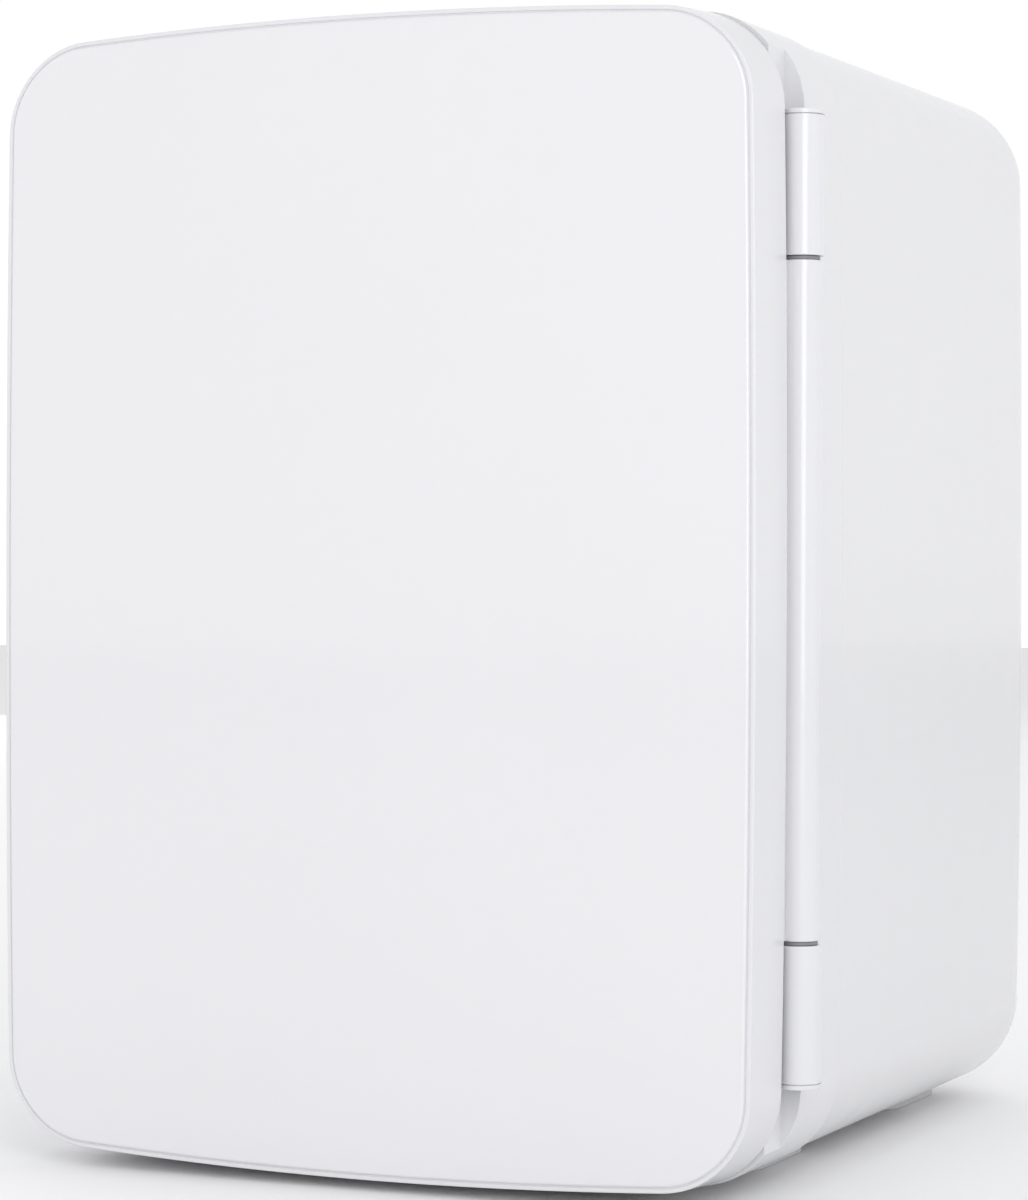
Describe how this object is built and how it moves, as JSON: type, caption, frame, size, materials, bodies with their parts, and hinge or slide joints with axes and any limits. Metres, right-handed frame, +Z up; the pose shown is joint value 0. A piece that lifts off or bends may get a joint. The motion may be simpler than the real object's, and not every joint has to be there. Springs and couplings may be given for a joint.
{
  "type": "mini fridge",
  "caption": "Compact countertop fridge with rounded gloss case, flat panel door on a side barrel hinge, removable shelf, lift-off door bins and a vented rear cover.",
  "frame": {"origin": "bottom centre of the whole object's box, on the plane that the feet rest on", "axes": "+X towards the hinge side, +Y backwards from the door to the rear cover, +Z up"},
  "size_m": [0.2502, 0.285, 0.34],
  "materials": {
    "shell_white": "moulded gloss",
    "panel_white": "polished gloss sheet",
    "liner_white": "vacuum-formed satin",
    "foam": "rigid foam",
    "gasket_grey": "soft extrusion",
    "magnet_brown": "ferrite strip",
    "strike_steel": "zinc plated",
    "pin_steel": "ground",
    "screw_steel": "zinc plated",
    "washer_nylon": "nylon",
    "foot_rubber": "moulded",
    "rear_white": "fine texture",
    "sink_aluminium": "extruded",
    "module_ceramic": "alumina plates",
    "fan_black": "moulded",
    "board_green": "solder mask",
    "coil_yellow": "taped winding",
    "capacitor_sleeve": "shrink sleeve",
    "terminal_green": "moulded",
    "socket_black": "moulded",
    "pin_brass": "nickel flash",
    "lamp_green": "clear lens",
    "lamp_red": "clear lens",
    "lead_sleeve": "insulated wire",
    "shelf_white": "moulded",
    "bin_clear": "translucent moulding"
  },
  "bodies": {
    "cabinet": {"ac_inlet": "socket_black", "ac_inlet_pins": "pin_brass", "board_screws": "screw_steel", "bottom_knuckle": "shell_white", "cabin_foam": "foam", "cabin_liner": "liner_white", "capacitors": "capacitor_sleeve", "clamp_screws": "screw_steel", "cold_fan_frame": "fan_black", "cold_fan_screws": "screw_steel", "cold_hood": "liner_white", "cold_lamp": "lamp_green", "cold_sink": "sink_aluminium", "control_board": "board_green", "cooling_module": "module_ceramic", "cover_screws": "screw_steel", "dc_inlet": "socket_black", "dc_inlet_pins": "pin_brass", "foot_front_left": "foot_rubber", "foot_front_right": "foot_rubber", "foot_rear_left": "foot_rubber", "foot_rear_right": "foot_rubber", "front_bezel": "shell_white", "hinge_pins": "pin_steel", "hinge_washers": "washer_nylon", "hood_screws": "screw_steel", "hot_fan_frame": "fan_black", "hot_fan_lead": "lead_sleeve", "hot_fan_screws": "screw_steel", "hot_sink": "sink_aluminium", "knuckle_screws": "screw_steel", "mode_switch_case": "socket_black", "module_collar": "foam", "module_leads": "lead_sleeve", "outer_shell": "shell_white", "rear_cover": "rear_white", "spacer_block": "sink_aluminium", "strike_frame": "strike_steel", "terminal_blocks": "terminal_green", "thermal_cutout": "capacitor_sleeve", "top_knuckle": "shell_white", "transformer": "coil_yellow", "warm_lamp": "lamp_red"},
    "upper_bin": {"upper_bin": "bin_clear"},
    "lower_bin": {"lower_bin": "bin_clear"},
    "shelf": {"shelf": "shelf_white"},
    "hot_fan": {"hot_fan_rotor": "fan_black"},
    "cold_fan": {"cold_fan_rotor": "fan_black"},
    "mode_switch": {"mode_switch_lever": "socket_black"},
    "door": {"door_panel": "panel_white", "door_frame": "shell_white", "door_foam": "foam", "door_liner": "liner_white", "door_gasket": "gasket_grey", "gasket_magnet": "magnet_brown", "door_knuckle": "shell_white", "door_knuckle_screws": "screw_steel"}
  },
  "joints": [
    {"name": "door_hinge", "type": "hinge", "parent": "cabinet", "child": "door", "pos_m": [0.1186, -0.1117, 0.171], "axis": [0, 0, 1], "range_deg": [0, 170]},
    {"name": "shelf_slide", "type": "slide", "parent": "cabinet", "child": "shelf", "axis": [0, -1, 0], "range_m": [0, 0.045]},
    {"name": "upper_bin_lift", "type": "slide", "parent": "door", "child": "upper_bin", "axis": [0, 0, 1], "range_m": [0, 0.014]},
    {"name": "lower_bin_lift", "type": "slide", "parent": "door", "child": "lower_bin", "axis": [0, 0, 1], "range_m": [0, 0.014]},
    {"name": "hot_fan_spin", "type": "hinge", "parent": "cabinet", "child": "hot_fan", "pos_m": [-0.0036, 0.1265, 0.205], "axis": [0, 1, 0], "continuous": true},
    {"name": "cold_fan_spin", "type": "hinge", "parent": "cabinet", "child": "cold_fan", "pos_m": [-0.0036, 0.0355, 0.205], "axis": [0, 1, 0], "continuous": true},
    {"name": "mode_switch_slide", "type": "slide", "parent": "cabinet", "child": "mode_switch", "axis": [1, 0, 0], "range_m": [-0.003, 0.003]}
  ]
}
